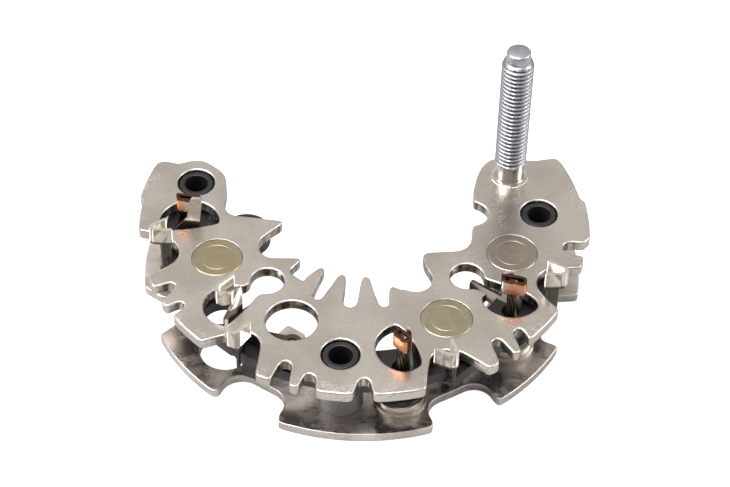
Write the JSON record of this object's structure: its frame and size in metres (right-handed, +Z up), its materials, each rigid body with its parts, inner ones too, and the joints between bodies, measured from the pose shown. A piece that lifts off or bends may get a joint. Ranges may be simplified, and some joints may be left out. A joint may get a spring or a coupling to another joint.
{
  "type": "alternator rectifier",
  "caption": "Horseshoe alternator rectifier: two heat sink plates on insulating bushes, press-fit diodes, a moulded terminal carrier with wire hooks and a threaded battery stud.",
  "frame": {"origin": "centre of the circle through the three bush holes, which is the shaft axis, at the underside of the lower heat sink", "axes": "+Z up from the seat towards the end of the battery stud, +Y out of the open side of the horseshoe, +X towards the arm that carries the stud"},
  "size_m": [0.114, 0.0868, 0.0606],
  "materials": {
    "upper_plate": "satin, tumbled",
    "lower_plate": "smooth",
    "carrier": "moulded, dark",
    "bush": "moulded, dark grey",
    "diode_cup": "nickel plated, warm",
    "potting": "epoxy",
    "lead": "bare copper strands",
    "crimp": "tinned copper, worn",
    "terminal": "tin plated",
    "stud": "zinc plated"
  },
  "bodies": {
    "root": {"negative_heat_sink": "lower_plate", "positive_heat_sink": "upper_plate", "terminal_carrier": "carrier", "bush_left": "bush", "bush_right": "bush", "bush_front": "bush", "positive_cup_left": "diode_cup", "positive_cup_mid": "diode_cup", "positive_cup_right": "diode_cup", "negative_cup_left": "diode_cup", "negative_cup_mid": "diode_cup", "negative_cup_right": "diode_cup", "positive_potting_left": "potting", "positive_potting_mid": "potting", "positive_potting_right": "potting", "negative_potting_left": "potting", "negative_potting_mid": "potting", "negative_potting_right": "potting", "positive_lead_left": "lead", "positive_lead_mid": "lead", "positive_lead_right": "lead", "negative_lead_left": "lead", "negative_lead_mid": "lead", "negative_lead_right": "lead", "crimp_left": "crimp", "crimp_mid": "crimp", "crimp_right": "crimp", "terminal_left": "terminal", "terminal_spare": "terminal", "terminal_mid": "terminal", "terminal_right": "terminal", "battery_stud": "stud"}
  },
  "joints": []
}
